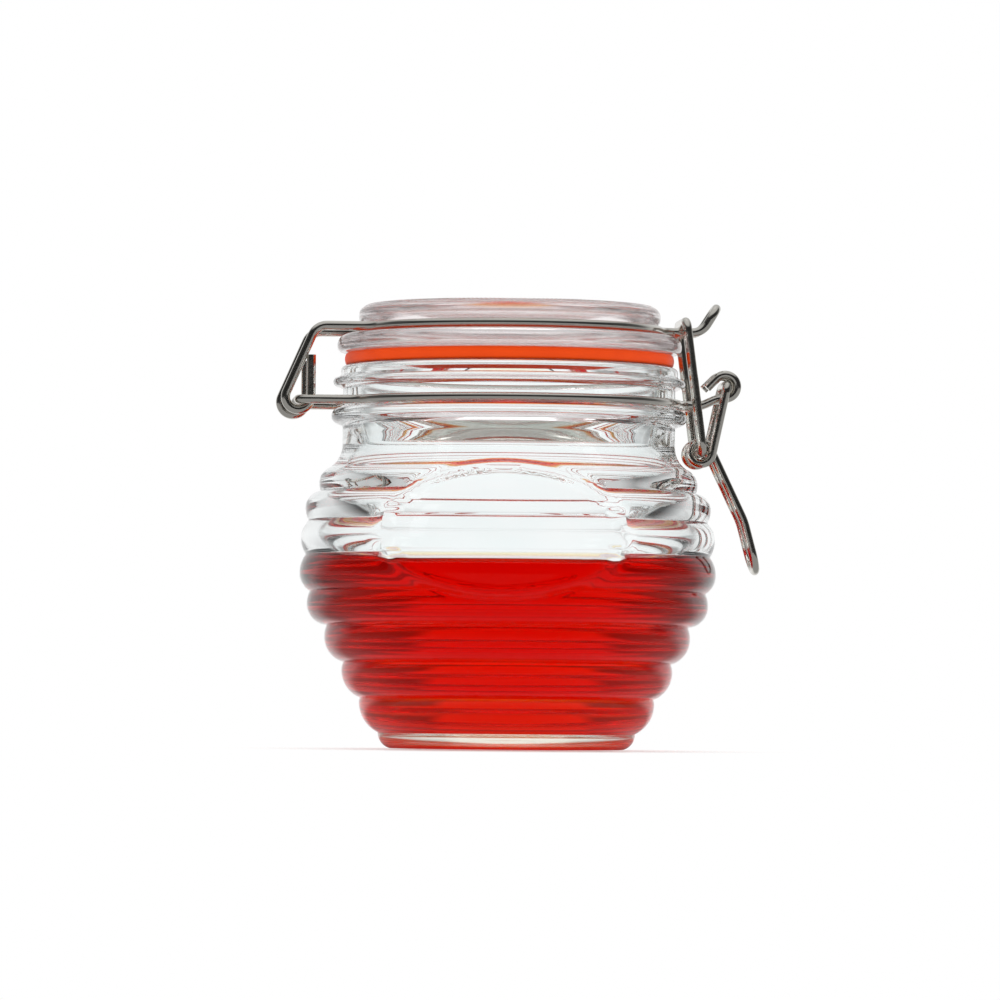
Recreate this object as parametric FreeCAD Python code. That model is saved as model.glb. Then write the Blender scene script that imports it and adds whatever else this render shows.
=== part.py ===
import FreeCAD, Part
import math
import os

# Swing top honey pot: a beehive-ringed glass jar with a glass lid, a rubber
# seal and a spring-wire toggle clasp. Millimetres. The jar's axis is Z, its
# base is on z = 0, the hinge is at -X, the latch at +X, the plaque faces -Y.

V = FreeCAD.Vector

# ---------------------------------------------------------------- dimensions
PLAY = 0.15                 # between a wire and the glass it lies on
FIT = 0.3                   # between a wire and the wire it turns on

# Jar, outer face. Each ring swells from the notch below it to its widest
# point and draws in again to the notch above it. A ring is given as how far
# its widest point and its notch lie inside the body's widest radius, and how
# high above the heel's top they are: (inset, up, inset, up).
BODY_R = 52.7               # the whole body's widest radius
FOOT_IN = 23.1              # foot's outer edge, inside the widest radius
FOOT_W = 3.5                # width of the flat ring it stands on
HEEL_IN, HEEL_H = 20.1, 3.9
PUNT_H = 2.2                # hollow under the base
RINGS_IN = [
    (15.3, 7.7, 15.6, 8.7),
    (10.8, 15.7, 11.2, 17.7),
    (6.4, 24.1, 6.9, 27.0),
    (1.9, 32.5, 2.6, 35.6),
    (0.0, 40.3, 1.5, 44.9),
    (0.3, 49.0, 2.2, 53.5),
    (1.4, 56.8, 5.1, 61.0),
]
SHOULDER_IN, SHOULDER_UP = 4.8, 63.0
SHOULDER_END_IN, SHOULDER_END_UP = 7.5, 67.0
NECK_UP = 72.7              # where the straight neck begins

# Jar, neck: heights are above the neck's start
NECK_R = 42.15
NECK_H = 4.7                # straight part, up to the lower bead
BEAD_OUT, BEAD_H = 2.85, 4.0
GROOVE_IN = 0.05            # wire's groove, inside the neck's radius
GROOVE_ROOM = 2.1           # how much taller it is than the wire
PERCH = 0.25                # between the wire's ring and the bead it lies on
COLLAR_OUT, COLLAR_H = 2.45, 2.2
RIM_OUT, RIM_H = 0.55, 2.4  # plain rim above the collar
RIM_ROUND = 1.3
MOUTH_WALL = 5.0            # thickness of the rim
SLOPE = 0.6                 # height of the little slopes between them

# Jar, inner face, smooth: inside the widest radius, and above the heel's top
FLOOR_UP = 3.7
CAVITY_IN = [
    (31.7, 3.0), (25.4, 3.9), (21.5, 6.5), (18.0, 10.7), (13.6, 18.9),
    (9.4, 28.1), (5.8, 36.3), (4.4, 44.9), (5.1, 53.1), (7.8, 59.7),
]
CAVITY_NECK = [(2.9, -6.3), (0.8, -0.6), (0.1, 5.9)]   # beyond the mouth's radius

# Plaque: a smooth oval field that interrupts the upper rings
PLAQUE_TURN = 6.0           # degrees round the jar from -Y towards -X
PLAQUE_UP = 50.4
PLAQUE_A, PLAQUE_B = 33.5, 16.6
PLAQUE_FACE_IN = [
    (1.0, 29.1), (-0.2, 34.6), (-0.5, 41.1), (-0.3, 47.6), (0.5, 54.1),
    (2.1, 59.6), (4.1, 64.1), (6.5, 68.6), (8.7, 72.1),
]
PLAQUE_DEPTH = 3.0
BORDER_EDGE, BORDER_W, BORDER_H = 1.3, 1.0, 0.35    # raised line round it
BORDER_ROOT = 1.0           # how deep the line is joined to the glass

# Honey
HONEY_UP = 43.1             # its level, above the heel's top
HONEY_GAP = 0.2

# Seal
SEAL_W, SEAL_T = 6.0, 3.1
SEAL_ROUND = 0.8
SEAL_EDGE = 1.1             # how far the seal stands inside the rim's edge
SEAL_PLAY = 0.2             # over the rim, and half as much again under the lid

# Lid: heights are above its face on the seal
LID_OUT, LID_R_UP = 0.9, 1.55       # flange past the rim, and its widest point
LID_STEP_UP = 4.5                   # shelf that carries the lid wire
LID_BEAD_DROP = 4.5                 # bead's radius inside the neck's
LID_GROOVE_IN = 1.1                 # groove inside the bead
LID_BEAD_OVER = 0.1                 # bead's foot, over the lid wire
LID_SIDE_UP, LID_TOP_UP = 9.9, 12.1
LID_DISH_W, LID_DISH_UP = 7.2, 9.6
LID_BOSS_IN, LID_BOSS_DOWN = 0.4, 3.75
LID_BOSS_W = 3.6
LID_DOME_UP = 4.65

# Wires (radii of the wire, then the shapes they are bent to)
WIRE = 1.15                 # lid wire and link
WIRE_N = 1.1                # neck wire and lever
STRAND_ROUND = 6.0          # bend where a strand leaves a ring
NOSE_Y = 3.3                # half the gap between the nose's two strands
NOSE_OUT = 2.5              # where the nose curls up, beyond the lid
NOSE_ROUND = 4.5
NOSE_TIP_TURN = 58.0
NOSE_STRAIGHT = 1.7

HINGE_OUT = 10.8            # hinge bar, beyond the neck wire's ring
HINGE_CORNER = 3.2          # bends at the ends of the bar
HOOK_Y = 14.9               # lid wire's hooks
HOOK_R = 3.2
HOOK_TAIL_H = 10.6          # tail, above the hook's centre
KNEE_OUT = 6.1              # where the lid wire turns down, beyond the lid

CURL_OUT, CURL_R = 1.85, 3.0        # open curls that hold the lever, past the body
CURL_Y = 4.3
CURL_RISE = 1.95            # curl's foot, over the wire's ring
CURL_END = 135.0
CURL_TAIL = 3.6
PIVOT_HEADING = 51.3        # where the crossbar bears in its curl, from +X

EYE_AT = (-6.2, -12.0)      # link's lower bar, from the curl's foot
EYE_PLAY = 0.17             # more room than FIT in the lever's coils round it
GRIP_Y = 4.7
GRIP_KNEE_OUT, GRIP_KNEE_DOWN = 6.9, 17.2   # past the body, below the eye
GRIP_END_OUT, GRIP_END_DOWN = 10.2, 29.6
GRIP_ROUND = 16.0
ARM_ROUND = 1.9

LINK_OUT = 0.4              # link's upper bar, beyond the lid
LINK_SIDE = 0.85            # between the link's side and the lever's coil
LINK_ROUND = 2.6

# ----------------------------------------------- places that follow from them
HEEL_R = BODY_R - HEEL_IN
FOOT_R = BODY_R - FOOT_IN
FOOT_R_IN = FOOT_R - FOOT_W
RINGS = [(BODY_R - a, HEEL_H + b, BODY_R - c, HEEL_H + d)
         for a, b, c, d in RINGS_IN]
SHOULDER = (BODY_R - SHOULDER_IN, HEEL_H + SHOULDER_UP)
SHOULDER_END = (BODY_R - SHOULDER_END_IN, HEEL_H + SHOULDER_END_UP)
NECK_Z0 = HEEL_H + NECK_UP
NECK_Z1 = NECK_Z0 + NECK_H
BEAD_R, BEAD_Z0 = NECK_R + BEAD_OUT, NECK_Z1 + SLOPE
BEAD_Z1 = BEAD_Z0 + BEAD_H
GROOVE_R = NECK_R - GROOVE_IN
GROOVE_Z0 = BEAD_Z1 + SLOPE
GROOVE_Z1 = GROOVE_Z0 + 2 * WIRE_N + GROOVE_ROOM
COLLAR_R, COLLAR_Z0 = NECK_R + COLLAR_OUT, GROOVE_Z1 + SLOPE
COLLAR_Z1 = COLLAR_Z0 + COLLAR_H
RIM_R, RIM_Z0 = NECK_R + RIM_OUT, COLLAR_Z1 + SLOPE
RIM_Z = RIM_Z0 + RIM_H
MOUTH_R = RIM_R - MOUTH_WALL
CAVITY = ([(0.0, HEEL_H + FLOOR_UP)]
          + [(BODY_R - a, HEEL_H + b) for a, b in CAVITY_IN]
          + [(MOUTH_R + a, NECK_Z0 + b) for a, b in CAVITY_NECK])
PLAQUE_Z = HEEL_H + PLAQUE_UP
PLAQUE_FACE = [(BODY_R - a, HEEL_H + b) for a, b in PLAQUE_FACE_IN]
HONEY_Z = HEEL_H + HONEY_UP

SEAL_R_OUT = RIM_R - SEAL_EDGE
SEAL_R_IN = SEAL_R_OUT - SEAL_W
SEAL_Z0 = RIM_Z + SEAL_PLAY
SEAL_Z1 = SEAL_Z0 + SEAL_T

LID_Z0 = SEAL_Z1 + PLAY
LID_R = RIM_R + LID_OUT
LID_BEAD_R = RIM_R - LID_BEAD_DROP
LID_GROOVE_R = LID_BEAD_R - LID_GROOVE_IN
LID_BOSS_R = SEAL_R_IN - LID_BOSS_IN

LID_WIRE_Z = LID_Z0 + LID_STEP_UP + WIRE + PLAY
LID_WIRE_R = LID_GROOVE_R + WIRE + PLAY
NECK_WIRE_Z = BEAD_Z1 + WIRE_N + PERCH
NECK_WIRE_R = GROOVE_R + WIRE_N + PLAY

NOSE_X = LID_R + NOSE_OUT
HINGE_X, HINGE_Z = -(NECK_WIRE_R + HINGE_OUT), NECK_WIRE_Z
HOOK_DROP = HOOK_R - WIRE - WIRE_N - FIT - 0.07   # bar below the hook's centre
HINGE_Y = HOOK_Y + WIRE + WIRE_N + 2 * FIT + 0.07  # neck wire's straight strands
HOOK_TAIL_Z = HINGE_Z + HOOK_DROP + HOOK_TAIL_H
KNEE = (-(LID_R + KNEE_OUT), LID_WIRE_Z)

CURL_X = BODY_R + CURL_OUT
CURL_Z = NECK_WIRE_Z + CURL_RISE + CURL_R
PIVOT_SHIFT = CURL_R - 2 * WIRE_N - FIT - 0.06
PIVOT = (CURL_X + PIVOT_SHIFT * math.cos(math.radians(PIVOT_HEADING)),
         CURL_Z + PIVOT_SHIFT * math.sin(math.radians(PIVOT_HEADING)))
EYE = (CURL_X + EYE_AT[0], NECK_WIRE_Z + EYE_AT[1])
EYE_R = WIRE + WIRE_N + FIT + EYE_PLAY
ARM_Y = CURL_Y + 2 * WIRE_N + FIT + 0.2
GRIP_KNEE = (BODY_R + GRIP_KNEE_OUT, EYE[1] - GRIP_KNEE_DOWN)
GRIP_END = (BODY_R + GRIP_END_OUT, EYE[1] - GRIP_END_DOWN)
LINK_TOP = (LID_R + LINK_OUT, LID_WIRE_Z + 2 * WIRE + PLAY + 0.05)
LINK_Y = ARM_Y + WIRE_N + WIRE + LINK_SIDE


# ------------------------------------------------------------------- helpers
def arc(a, m, b):
    return Part.Arc(V(*a), V(*m), V(*b)).toShape()


def seg(a, b):
    return Part.makeLine(V(*a), V(*b))


def rz(p):
    """Point of a profile in the XZ half-plane."""
    return (p[0], 0.0, p[1])


def swell(notch, widest):
    """Middle of the arc from a notch to a point where the arc is upright."""
    dr, dz = widest[0] - notch[0], widest[1] - notch[1]
    rho = (dr * dr + dz * dz) / (2 * dr)
    cx, cz = widest[0] - rho, widest[1]
    mx = (notch[0] + widest[0]) / 2 - cx
    mz = (notch[1] + widest[1]) / 2 - cz
    k = abs(rho) / math.hypot(mx, mz)
    return (cx + mx * k, cz + mz * k)


def spline(points):
    c = Part.BSplineCurve()
    c.interpolate([V(*p) for p in points])
    return c.toShape()


def revolve(edges):
    """Solid of revolution about Z of a closed profile."""
    face = Part.Face(Part.Wire(edges))
    s = face.revolve(V(0, 0, 0), V(0, 0, 1), 360)
    return solid(s)


def solid(s):
    if s.ShapeType == "Solid":
        return s
    if s.Solids:
        return s.Solids[0]
    return Part.Solid(Part.Shell(s.Faces))


def inset(points, d):
    """The same profile moved towards the axis side by d."""
    out = []
    for i, p in enumerate(points):
        a = points[max(i - 1, 0)]
        b = points[min(i + 1, len(points) - 1)]
        tx, tz = b[0] - a[0], b[1] - a[1]
        n = math.hypot(tx, tz)
        out.append((max(p[0] - d * tz / n, 0.0), p[1] + d * tx / n))
    return out


def rounded(points, radii):
    """Edges of an open 3-D polyline with its corners rounded, and its ends."""
    pts = [V(*p) for p in points]
    edges = []
    here = pts[0]
    for i in range(1, len(pts) - 1):
        r = radii[i - 1]
        u = (pts[i - 1] - pts[i]).normalize()
        w = (pts[i + 1] - pts[i]).normalize()
        turn = math.acos(max(-1.0, min(1.0, u.dot(w))))
        if r <= 0 or abs(turn - math.pi) < 1e-6:
            edges.append(Part.makeLine(here, pts[i]))
            here = pts[i]
            continue
        cut = r / math.tan(turn / 2)
        a = pts[i] + u * cut
        b = pts[i] + w * cut
        c = pts[i] + (u + w).normalize() * (r / math.sin(turn / 2))
        m = c + (pts[i] - c).normalize() * r
        if (a - here).Length > 1e-6:
            edges.append(Part.makeLine(here, a))
        edges.append(Part.Arc(a, m, b).toShape())
        here = b
    if (pts[-1] - here).Length > 1e-6:
        edges.append(Part.makeLine(here, pts[-1]))
    return edges


def bar(edges, r):
    """Round wire of radius r swept along a chain of tangent edges."""
    path = Part.Wire(edges)
    first = path.OrderedEdges[0]
    a, b = first.FirstParameter, first.LastParameter
    if first.Orientation == "Reversed":
        a, b = b, a
    start = first.valueAt(a)
    along = first.tangentAt(a)
    ring = Part.Wire(Part.makeCircle(r, start, along))
    s = path.makePipeShell([ring], True, False)
    return solid(s)


def mirrored(edges):
    """A chain's mirror image in the XZ plane."""
    return [e.mirror(V(0, 0, 0), V(0, 1, 0)) for e in edges]


def plan_fillet(ring_r, y, rho, side):
    """A ring of radius ring_r leaves for a strand at this y, running out
    towards side * X, through a bend of radius rho: the two tangent points and
    the bend's middle."""
    cx = side * math.sqrt((ring_r + rho) ** 2 - (y + rho) ** 2)
    cy = y + rho
    d = math.hypot(cx, cy)
    on_ring = (cx * ring_r / d, cy * ring_r / d)
    on_line = (cx, y)
    mx, my = on_ring[0] + on_line[0] - 2 * cx, on_ring[1] + on_line[1] - 2 * cy
    n = math.hypot(mx, my)
    mid = (cx + mx / n * rho, cy + my / n * rho)
    return on_ring, mid, on_line


# ----------------------------------------------------------------------- jar
def jar_outline():
    e = [arc((0, 0, PUNT_H), (FOOT_R_IN * 0.55, 0, PUNT_H * 0.72),
             (FOOT_R_IN, 0, 0.0)),
         seg((FOOT_R_IN, 0, 0), (FOOT_R, 0, 0))]
    at = (FOOT_R, 0.0)
    e.append(arc(rz(at), rz(swell(at, (HEEL_R, HEEL_H))), rz((HEEL_R, HEEL_H))))
    at = (HEEL_R, HEEL_H)
    for wr, wz, nr, nz in RINGS:
        wide, notch = (wr, wz), (nr, nz)
        e.append(arc(rz(at), rz(swell(at, wide)), rz(wide)))
        e.append(arc(rz(wide), rz(swell(notch, wide)), rz(notch)))
        at = notch
    wide = SHOULDER
    e.append(arc(rz(at), rz(swell(at, wide)), rz(wide)))
    e.append(arc(rz(wide), rz(swell(SHOULDER_END, wide)), rz(SHOULDER_END)))
    e.append(arc(rz(SHOULDER_END), rz(swell(SHOULDER_END, (NECK_R, NECK_Z0))),
                 (NECK_R, 0, NECK_Z0)))
    e.append(seg((NECK_R, 0, NECK_Z0), (NECK_R, 0, NECK_Z1)))
    zb = (BEAD_Z0 + BEAD_Z1) / 2
    e.append(seg((NECK_R, 0, NECK_Z1), (BEAD_R - 1.7, 0, BEAD_Z0)))
    e.append(arc((BEAD_R - 1.7, 0, BEAD_Z0), (BEAD_R, 0, zb),
                 (BEAD_R - 1.7, 0, BEAD_Z1)))
    e.append(seg((BEAD_R - 1.7, 0, BEAD_Z1), (GROOVE_R, 0, GROOVE_Z0)))
    e.append(seg((GROOVE_R, 0, GROOVE_Z0), (GROOVE_R, 0, GROOVE_Z1)))
    zc = (COLLAR_Z0 + COLLAR_Z1) / 2
    e.append(seg((GROOVE_R, 0, GROOVE_Z1), (COLLAR_R - 1.2, 0, COLLAR_Z0)))
    e.append(arc((COLLAR_R - 1.2, 0, COLLAR_Z0), (COLLAR_R, 0, zc),
                 (COLLAR_R - 1.2, 0, COLLAR_Z1)))
    e.append(seg((COLLAR_R - 1.2, 0, COLLAR_Z1), (RIM_R, 0, RIM_Z0)))
    e.append(seg((RIM_R, 0, RIM_Z0), (RIM_R, 0, RIM_Z - RIM_ROUND)))
    k = RIM_ROUND * (1 - math.sqrt(0.5))
    e.append(arc((RIM_R, 0, RIM_Z - RIM_ROUND), (RIM_R - k, 0, RIM_Z - k),
                 (RIM_R - RIM_ROUND, 0, RIM_Z)))
    e.append(seg((RIM_R - RIM_ROUND, 0, RIM_Z), (MOUTH_R + RIM_ROUND, 0, RIM_Z)))
    e.append(arc((MOUTH_R + RIM_ROUND, 0, RIM_Z), (MOUTH_R + k, 0, RIM_Z - k),
                 (MOUTH_R, 0, RIM_Z - RIM_ROUND)))
    return e


def make_jar():
    e = jar_outline()
    e.append(seg((MOUTH_R, 0, RIM_Z - RIM_ROUND), rz(CAVITY[-1])))
    e.append(spline([rz(p) for p in reversed(CAVITY)]))
    e.append(seg(rz(CAVITY[0]), (0, 0, PUNT_H)))
    jar = revolve(e)

    # Plaque: the part of a smooth shell of revolution inside an oval
    face = PLAQUE_FACE
    back = [(r - PLAQUE_DEPTH, z) for r, z in face]
    shell = revolve([
        spline([rz(p) for p in face]),
        seg(rz(face[-1]), rz(back[-1])),
        spline([rz(p) for p in reversed(back)]),
        seg(rz(back[0]), rz(face[0])),
    ])
    jar = jar.fuse(shell.common(oval(PLAQUE_A, PLAQUE_B)))

    # Raised line just inside the plaque's edge
    proud = [(r + BORDER_H, z) for r, z in face]
    under = [(r - BORDER_ROOT, z) for r, z in face]
    line = revolve([
        spline([rz(p) for p in proud]),
        seg(rz(proud[-1]), rz(under[-1])),
        spline([rz(p) for p in reversed(under)]),
        seg(rz(under[0]), rz(proud[0])),
    ])
    a, b = PLAQUE_A - BORDER_EDGE, PLAQUE_B - BORDER_EDGE
    band = oval(a, b).cut(oval(a - BORDER_W, b - BORDER_W))
    jar = jar.fuse(line.common(band))
    return solid(jar)


def oval(a, b):
    """Oval column along -Y that the plaque is cut with."""
    el = Part.Ellipse(V(0, 0, PLAQUE_Z), a, b)
    edge = el.toShape()
    edge.rotate(V(0, 0, PLAQUE_Z), V(1, 0, 0), 90)
    col = Part.Face(Part.Wire(edge)).extrude(V(0, -2 * BODY_R, 0))
    col.rotate(V(0, 0, 0), V(0, 0, 1), -PLAQUE_TURN)
    return solid(col)


def make_honey():
    inner = inset(CAVITY, HONEY_GAP)
    c = Part.BSplineCurve()
    c.interpolate([V(*rz(p)) for p in inner])
    # keep the part below the level
    lo, hi = c.FirstParameter, c.LastParameter
    for _ in range(60):
        mid = (lo + hi) / 2
        if c.value(mid).z < HONEY_Z:
            lo = mid
        else:
            hi = mid
    c.segment(c.FirstParameter, lo)
    end = c.value(c.LastParameter)
    start = c.value(c.FirstParameter)
    return revolve([
        c.toShape(),
        Part.makeLine(end, V(0, 0, end.z)),
        Part.makeLine(V(0, 0, end.z), start),
    ])


# ----------------------------------------------------------------------- lid
def make_seal():
    body = revolve([
        seg((SEAL_R_IN, 0, SEAL_Z0), (SEAL_R_OUT, 0, SEAL_Z0)),
        seg((SEAL_R_OUT, 0, SEAL_Z0), (SEAL_R_OUT, 0, SEAL_Z1)),
        seg((SEAL_R_OUT, 0, SEAL_Z1), (SEAL_R_IN, 0, SEAL_Z1)),
        seg((SEAL_R_IN, 0, SEAL_Z1), (SEAL_R_IN, 0, SEAL_Z0)),
    ])
    rims = [e for e in body.Edges
            if e.Curve.TypeId == "Part::GeomCircle"
            and abs(e.Curve.Radius - SEAL_R_OUT) < 1e-6]
    return solid(body.makeFillet(SEAL_ROUND, rims))


def make_lid():
    z0 = LID_Z0
    step = z0 + LID_STEP_UP
    bead = step + 2 * (WIRE + PLAY) + LID_BEAD_OVER
    side, top = z0 + LID_SIDE_UP, z0 + LID_TOP_UP
    dish, dome = z0 + LID_DISH_UP, z0 + LID_DOME_UP
    boss = z0 - LID_BOSS_DOWN
    wide = z0 + LID_R_UP
    g, b, r = LID_GROOVE_R, LID_BEAD_R, LID_R
    crest = b - 3.0
    dish_r = b - LID_DISH_W
    inner = LID_BOSS_R - LID_BOSS_W
    e = [
        seg((LID_BOSS_R, 0, boss), (LID_BOSS_R, 0, z0)),
        seg((LID_BOSS_R, 0, z0), (r - 1.4, 0, z0)),
        arc((r - 1.4, 0, z0), (r - 0.35, 0, z0 + 0.5), (r, 0, wide)),
        arc((r, 0, wide), (r - 0.75, 0, step - 0.75), (r - 2.6, 0, step)),
        seg((r - 2.6, 0, step), (g + 0.6, 0, step)),
        arc((g + 0.6, 0, step), (g + 0.18, 0, step + 0.18), (g, 0, step + 0.6)),
        seg((g, 0, step + 0.6), (g, 0, bead - 0.4)),
        arc((g, 0, bead - 0.4), (b - 0.4, 0, bead + 0.4), (b, 0, bead + 1.6)),
        seg((b, 0, bead + 1.6), (b, 0, side)),
        arc((b, 0, side), (b - 0.85, 0, top - 0.75), (crest, 0, top)),
        seg((crest, 0, top), (crest - 1.4, 0, top)),
        arc((crest - 1.4, 0, top), (dish_r + 1.0, 0, top - 1.0), (dish_r, 0, dish)),
        seg((dish_r, 0, dish), (0, 0, dish)),
        # domed hollow underneath
        seg((0, 0, dish), (0, 0, dome)),
        arc((0, 0, dome), (inner * 0.57, 0, dome - 1.0), (inner - 1.4, 0, z0 - 0.55)),
        arc((inner - 1.4, 0, z0 - 0.55), (inner - 0.3, 0, z0 - 1.95),
            (inner, 0, boss + 0.6)),
        arc((inner, 0, boss + 0.6), (inner + 0.2, 0, boss + 0.18),
            (inner + 0.6, 0, boss)),
        seg((inner + 0.6, 0, boss), (LID_BOSS_R, 0, boss)),
    ]
    return revolve(e)


# --------------------------------------------------------------------- wires
def make_neck_wire():
    z, r = NECK_WIRE_Z, NECK_WIRE_R
    on_ring, mid, on_line = plan_fillet(r, CURL_Y, STRAND_ROUND - 2.0, 1)
    h_ring, h_mid, h_line = plan_fillet(r, HINGE_Y, STRAND_ROUND, -1)

    # far half, from the curl's free end to the middle of the hinge bar
    def at(p):
        return (p[0], p[1], z)

    cz = CURL_Z
    end = math.radians(CURL_END)
    half = math.radians((CURL_END - 90) / 2)
    tip = (CURL_X + CURL_R * math.cos(end), CURL_Y, cz + CURL_R * math.sin(end))
    tail = (tip[0] - CURL_TAIL * math.sin(end), CURL_Y,
            tip[2] + CURL_TAIL * math.cos(end))
    curl_mid = (CURL_X + CURL_R * math.cos(half), CURL_Y, cz + CURL_R * math.sin(half))
    side = math.radians((math.degrees(math.atan2(on_ring[1], on_ring[0]))
                         + math.degrees(math.atan2(h_ring[1], h_ring[0]))) / 2)
    corner = HINGE_CORNER
    k = corner * (1 - math.sqrt(0.5))
    # the strand climbs from the ring's plane to the curl in a lazy S
    foot = (CURL_X, CURL_Y, z + CURL_RISE)
    reach = CURL_X - on_line[0]
    climb = [Part.BezierCurve()]
    climb[0].setPoles([V(*foot), V(CURL_X - reach / 2, CURL_Y, foot[2]),
                       V(CURL_X - reach / 2, CURL_Y, z), V(*at(on_line))])
    climb = [climb[0].toShape()]
    half_wire = [
        seg(tail, tip),
        arc(tip, curl_mid, foot),
    ] + climb + [
        arc(at(on_line), at(mid), at(on_ring)),
        arc(at(on_ring), (r * math.cos(side), r * math.sin(side), z), at(h_ring)),
        arc(at(h_ring), at(h_mid), at(h_line)),
        seg(at(h_line), (HINGE_X + corner, HINGE_Y, z)),
        arc((HINGE_X + corner, HINGE_Y, z), (HINGE_X + k, HINGE_Y - k, z),
            (HINGE_X, HINGE_Y - corner, z)),
        seg((HINGE_X, HINGE_Y - corner, z), (HINGE_X, 0, z)),
    ]
    # the two halves meet at the middle of the hinge bar
    return bar(half_wire + mirrored(half_wire)[::-1], WIRE_N)


def make_lid_wire():
    z, r = LID_WIRE_Z, LID_WIRE_R
    n_ring, n_mid, n_line = plan_fillet(r, NOSE_Y, STRAND_ROUND - 2.0, 1)
    h_ring, h_mid, h_line = plan_fillet(r, HOOK_Y, STRAND_ROUND, -1)

    def at(p):
        return (p[0], p[1], z)

    side = (math.atan2(n_ring[1], n_ring[0]) + math.atan2(h_ring[1], h_ring[0])) / 2

    # nose: curls up and closes in a U
    turn = math.radians(NOSE_TIP_TURN)
    nz = z + NOSE_ROUND
    lift = lambda t: (NOSE_X + NOSE_ROUND * math.sin(t), NOSE_Y,
                      nz - NOSE_ROUND * math.cos(t))
    tip = lift(turn)
    over = NOSE_STRAIGHT
    along = (math.cos(turn), math.sin(turn))
    u_end = (tip[0] + along[0] * over, NOSE_Y, tip[2] + along[1] * over)
    u_top = (u_end[0] + along[0] * NOSE_Y, 0, u_end[2] + along[1] * NOSE_Y)

    # hook round the hinge bar, then its tail
    cx, cz = HINGE_X, HINGE_Z + HOOK_DROP
    knee = KNEE
    dx, dz = cx - knee[0], cz - knee[1]
    dist = math.hypot(dx, dz)
    base = math.atan2(dz, dx)
    off = math.asin(HOOK_R / dist)
    # of the two tangent points, the one on the outer (-X) side
    cand = []
    for s in (1, -1):
        a = base + s * off
        length = math.sqrt(dist ** 2 - HOOK_R ** 2)
        cand.append((knee[0] + length * math.cos(a), knee[1] + length * math.sin(a)))
    t_pt = min(cand)
    start = math.atan2(t_pt[1] - cz, t_pt[0] - cx)
    if start > 0:
        start -= 2 * math.pi              # outer side, measured through below
    mid_a = start / 2
    hook_mid = (cx + HOOK_R * math.cos(mid_a), HOOK_Y, cz + HOOK_R * math.sin(mid_a))
    hook_end = (cx + HOOK_R, HOOK_Y, cz)
    lead = rounded([at(h_line), (knee[0], HOOK_Y, z), (t_pt[0], HOOK_Y, t_pt[1])], [4.0])
    half_wire = [
        seg((hook_end[0], HOOK_Y, HOOK_TAIL_Z), hook_end),
        arc(hook_end, hook_mid, (t_pt[0], HOOK_Y, t_pt[1])),
    ] + lead[::-1] + [
        arc(at(h_line), at(h_mid), at(h_ring)),
        arc(at(h_ring), (r * math.cos(side), r * math.sin(side), z), at(n_ring)),
        arc(at(n_ring), at(n_mid), at(n_line)),
        seg(at(n_line), (NOSE_X, NOSE_Y, z)),
        arc((NOSE_X, NOSE_Y, z), lift(turn / 2), tip),
        seg(tip, u_end),
    ]
    quarter = NOSE_Y * math.sqrt(0.5)
    u_mid = (u_end[0] + along[0] * quarter, quarter, u_end[2] + along[1] * quarter)
    half_wire.append(arc(u_end, u_mid, u_top))
    return bar(half_wire + mirrored(half_wire)[::-1], WIRE)


def make_link():
    n, e, y = LINK_TOP, EYE, LINK_Y
    loop = rounded([
        (n[0], 0, n[1]), (n[0], y, n[1]), (e[0], y, e[1]),
        (e[0], -y, e[1]), (n[0], -y, n[1]), (n[0], 0, n[1]),
    ], [LINK_ROUND] * 4)
    return bar(loop, WIRE)


def make_lever():
    ex, ez = EYE
    px, pz = PIVOT
    # the arm runs from the crossbar to the right-hand side of the coil
    dist = math.hypot(ex - px, ez - pz)
    base = math.atan2(ez - pz, ex - px)
    off = math.asin(EYE_R / dist)
    length = math.sqrt(dist ** 2 - EYE_R ** 2)
    a_in = base + off
    enter = (px + length * math.cos(a_in), pz + length * math.sin(a_in))
    # the grip's first leg leaves the same side for the knee
    kx, kz = GRIP_KNEE
    d2 = math.hypot(kx - ex, kz - ez)
    b2 = math.atan2(kz - ez, kx - ex)
    th = math.acos(EYE_R / d2)
    leave_a = b2 + th
    leave = (ex + EYE_R * math.cos(leave_a), ez + EYE_R * math.sin(leave_a))
    enter_a = math.atan2(enter[1] - ez, enter[0] - ex)
    # clockwise from enter_a once round to leave_a
    sweep = (leave_a - enter_a) % (2 * math.pi) - 2 * math.pi
    pts = []
    n = 24
    for i in range(n + 1):
        t = i / n
        s = t * t * (3 - 2 * t)
        a = enter_a + sweep * t
        pts.append(V(ex + EYE_R * math.cos(a), ARM_Y + (GRIP_Y - ARM_Y) * s,
                     ez + EYE_R * math.sin(a)))
    c = Part.BSplineCurve()
    c.interpolate(pts)
    coil = c.toShape()

    top = rounded([(px, 0, pz), (px, ARM_Y, pz), (enter[0], ARM_Y, enter[1])], [ARM_ROUND])
    gx, gz = GRIP_END
    dx, dz = gx - kx, gz - kz
    d = math.hypot(dx, dz)
    dx, dz = dx / d, dz / d
    sx, sz = gx - dx * GRIP_Y, gz - dz * GRIP_Y
    leg = rounded([(leave[0], GRIP_Y, leave[1]), (kx, GRIP_Y, kz), (sx, GRIP_Y, sz)],
                  [GRIP_ROUND])
    q = GRIP_Y * math.sqrt(0.5)
    end = arc((sx, GRIP_Y, sz), (sx + dx * q, q, sz + dz * q), (gx, 0, gz))
    half = bar(top + [coil] + leg + [end], WIRE_N)
    whole = half.fuse(half.mirror(V(0, 0, 0), V(0, 1, 0)))
    return solid(whole.removeSplitter())


# -------------------------------------------------------------------- export
NODES = {
    "jar_glass": make_jar,
    "honey": make_honey,
    "lid_glass": make_lid,
    "seal": make_seal,
    "lid_wire": make_lid_wire,
    "neck_wire": make_neck_wire,
    "latch_link": make_link,
    "latch_lever": make_lever,
}

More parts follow.
